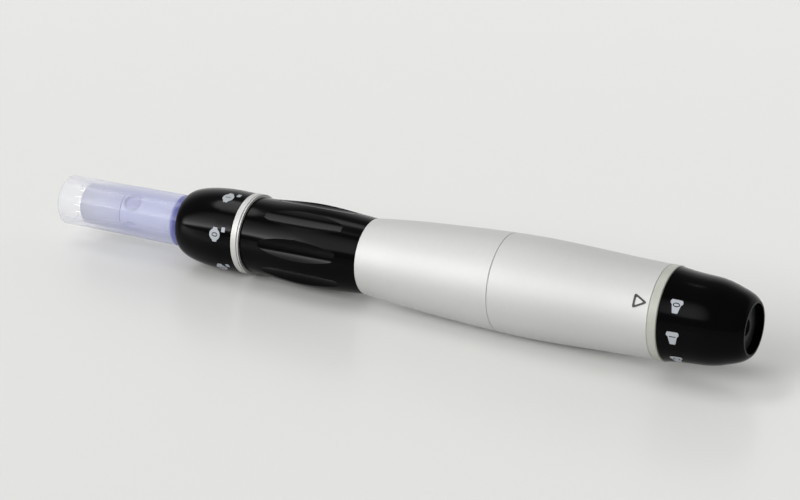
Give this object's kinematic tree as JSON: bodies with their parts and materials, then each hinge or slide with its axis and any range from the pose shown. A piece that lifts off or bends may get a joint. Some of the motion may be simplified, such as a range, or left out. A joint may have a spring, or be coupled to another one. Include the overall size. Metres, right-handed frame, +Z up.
{
  "type": "microneedling pen",
  "caption": "Handheld microneedling pen with a plug-in needle cartridge, a depth dial at the nose, a fluted grip, a tapered barrel and a rear speed dial round its power jack.",
  "frame": {"origin": "centre of the cartridge's front rim, on the pen's axis", "axes": "+X along the pen from the needles to the power jack, +Z up as the pen lies on a table"},
  "size_m": [0.1705, 0.022, 0.022],
  "materials": {
    "clear_plastic": "clear gloss",
    "lavender_plastic": "gloss",
    "needle_steel": "ground and polished",
    "spring_steel": "drawn wire",
    "steel": "machined",
    "black_plastic": "polished black",
    "socket_plastic": "moulded",
    "rubber": "moulded",
    "satin_silver": "satin anodised",
    "bright_metal": "polished",
    "cream_plastic": "moulded",
    "guide_plastic": "acetal",
    "brass": "turned",
    "copper": "enamelled wire",
    "can_steel": "zinc plated",
    "magnet": "sintered",
    "lamination": "stacked sheet",
    "end_cap_plastic": "moulded",
    "board_green": "solder mask",
    "component_black": "moulded",
    "chassis_plastic": "moulded",
    "carbon_track": "printed track",
    "nut_metal": "dark plated",
    "lead_red": "insulated wire"
  },
  "bodies": {
    "handle": {"depth_click_clip": "spring_steel", "index_ring": "bright_metal", "chassis_tube": "steel", "grip_sleeve": "black_plastic", "front_barrel": "satin_silver", "barrel_coupler": "steel", "rear_barrel": "satin_silver", "spacer_ring": "cream_plastic", "rod_guide": "guide_plastic", "guide_screws": "steel", "return_spring": "spring_steel", "motor_can": "can_steel", "motor_magnets": "magnet", "motor_brushes": "brass", "motor_bushes": "brass", "motor_end_cap": "end_cap_plastic", "motor_terminals": "brass", "motor_mount": "steel", "motor_screws": "steel", "motor_dampers": "rubber", "control_board": "board_green", "board_parts": "component_black", "tail_chassis": "chassis_plastic", "speed_track": "carbon_track", "speed_click_clip": "spring_steel", "jack_socket": "component_black", "jack_contacts": "brass", "jack_nut": "nut_metal", "jack_leads": "lead_red", "track_leads": "lead_red"},
    "depth_dial": {"depth_dial": "black_plastic", "cam_sleeve": "steel"},
    "cartridge_socket": {"cartridge_socket": "socket_plastic", "socket_o_ring": "rubber", "cam_pin": "steel"},
    "cartridge": {"cartridge_base": "lavender_plastic", "cartridge_o_ring": "rubber", "carrier_spring": "spring_steel"},
    "tip_shell": {"tip_shell": "clear_plastic"},
    "needle_carrier": {"needle_carrier": "lavender_plastic", "needles": "needle_steel"},
    "drive_rod": {"drive_rod": "steel", "follower_plate": "brass", "guide_pins": "steel", "follower_ball": "needle_steel"},
    "rotor": {"motor_shaft": "steel", "swash_cam": "brass", "cam_screw": "steel", "motor_armature": "lamination", "motor_windings": "copper", "motor_commutator": "copper"},
    "speed_dial": {"speed_dial": "black_plastic", "speed_wiper": "brass"}
  },
  "joints": [
    {"name": "depth_dial_turn", "type": "hinge", "parent": "handle", "child": "depth_dial", "pos_m": [0.04, 0, 0], "axis": [1, 0, 0], "range_deg": [0, 300]},
    {"name": "socket_slide", "type": "slide", "parent": "handle", "child": "cartridge_socket", "axis": [1, 0, 0], "range_m": [0, 0.0025]},
    {"name": "cartridge_pull", "type": "slide", "parent": "handle", "child": "cartridge", "axis": [-1, 0, 0], "range_m": [0, 0.036]},
    {"name": "shell_slide", "type": "slide", "parent": "cartridge", "child": "tip_shell", "axis": [1, 0, 0], "range_m": [0, 0.0025]},
    {"name": "rod_slide", "type": "slide", "parent": "handle", "child": "drive_rod", "axis": [-1, 0, 0], "range_m": [0, 0.0025], "stiffness_N_per_m": 150, "springref_m": -0.004, "deforming": ["return_spring"]},
    {"name": "carrier_slide", "type": "slide", "parent": "cartridge", "child": "needle_carrier", "axis": [-1, 0, 0], "range_m": [0, 0.0025], "deforming": ["carrier_spring"]},
    {"name": "motor_spin", "type": "hinge", "parent": "handle", "child": "rotor", "pos_m": [0.1, 0, 0], "axis": [1, 0, 0], "continuous": true},
    {"name": "speed_dial_turn", "type": "hinge", "parent": "handle", "child": "speed_dial", "pos_m": [0.16, 0, 0], "axis": [-1, 0, 0], "range_deg": [0, 200]}
  ],
  "couplings": [
    {"joint": "depth_dial_turn", "follows": "socket_slide", "rad_per_m": 2094.4},
    {"joint": "shell_slide", "follows": "socket_slide", "ratio": 1},
    {"joint": "carrier_slide", "follows": "rod_slide", "ratio": 1}
  ]
}
